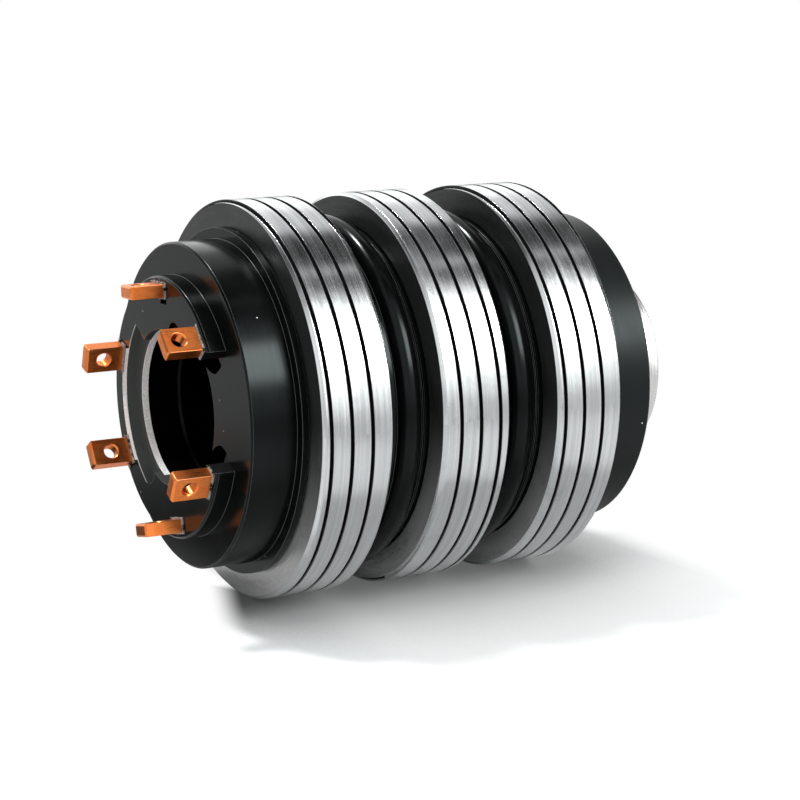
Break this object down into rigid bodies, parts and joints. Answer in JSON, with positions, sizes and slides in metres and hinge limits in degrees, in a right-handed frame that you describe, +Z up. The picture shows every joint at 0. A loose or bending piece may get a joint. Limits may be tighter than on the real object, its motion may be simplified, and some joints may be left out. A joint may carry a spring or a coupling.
{
  "type": "slip ring",
  "caption": "Moulded slip ring rotor with steel contact rings on an insulating hub, a steel bush for the shaft and drilled copper terminal bars.",
  "frame": {"origin": "on the shaft axis at the rear end face of the steel bush", "axes": "X along the shaft, with the copper terminals at -X; -Y towards the viewer of the picture; Z up"},
  "size_m": [0.2831, 0.2, 0.2],
  "materials": {
    "bush_steel": "turned, satin",
    "ring_steel": "fine turned, bright",
    "copper": "milled bare copper",
    "insulation": "moulded and turned resin, satin black",
    "sleeve": "glass insulating sleeve, cut ragged"
  },
  "bodies": {
    "root": {"shaft_bush": "bush_steel", "ring_front": "ring_steel", "ring_middle": "ring_steel", "ring_rear": "ring_steel", "terminal_bar_1a": "copper", "bar_sleeve_1a": "sleeve", "terminal_bar_1b": "copper", "bar_sleeve_1b": "sleeve", "terminal_bar_2a": "copper", "bar_sleeve_2a": "sleeve", "terminal_bar_2b": "copper", "bar_sleeve_2b": "sleeve", "terminal_bar_3a": "copper", "bar_sleeve_3a": "sleeve", "terminal_bar_3b": "copper", "bar_sleeve_3b": "sleeve", "insulating_body": "insulation"}
  },
  "joints": []
}
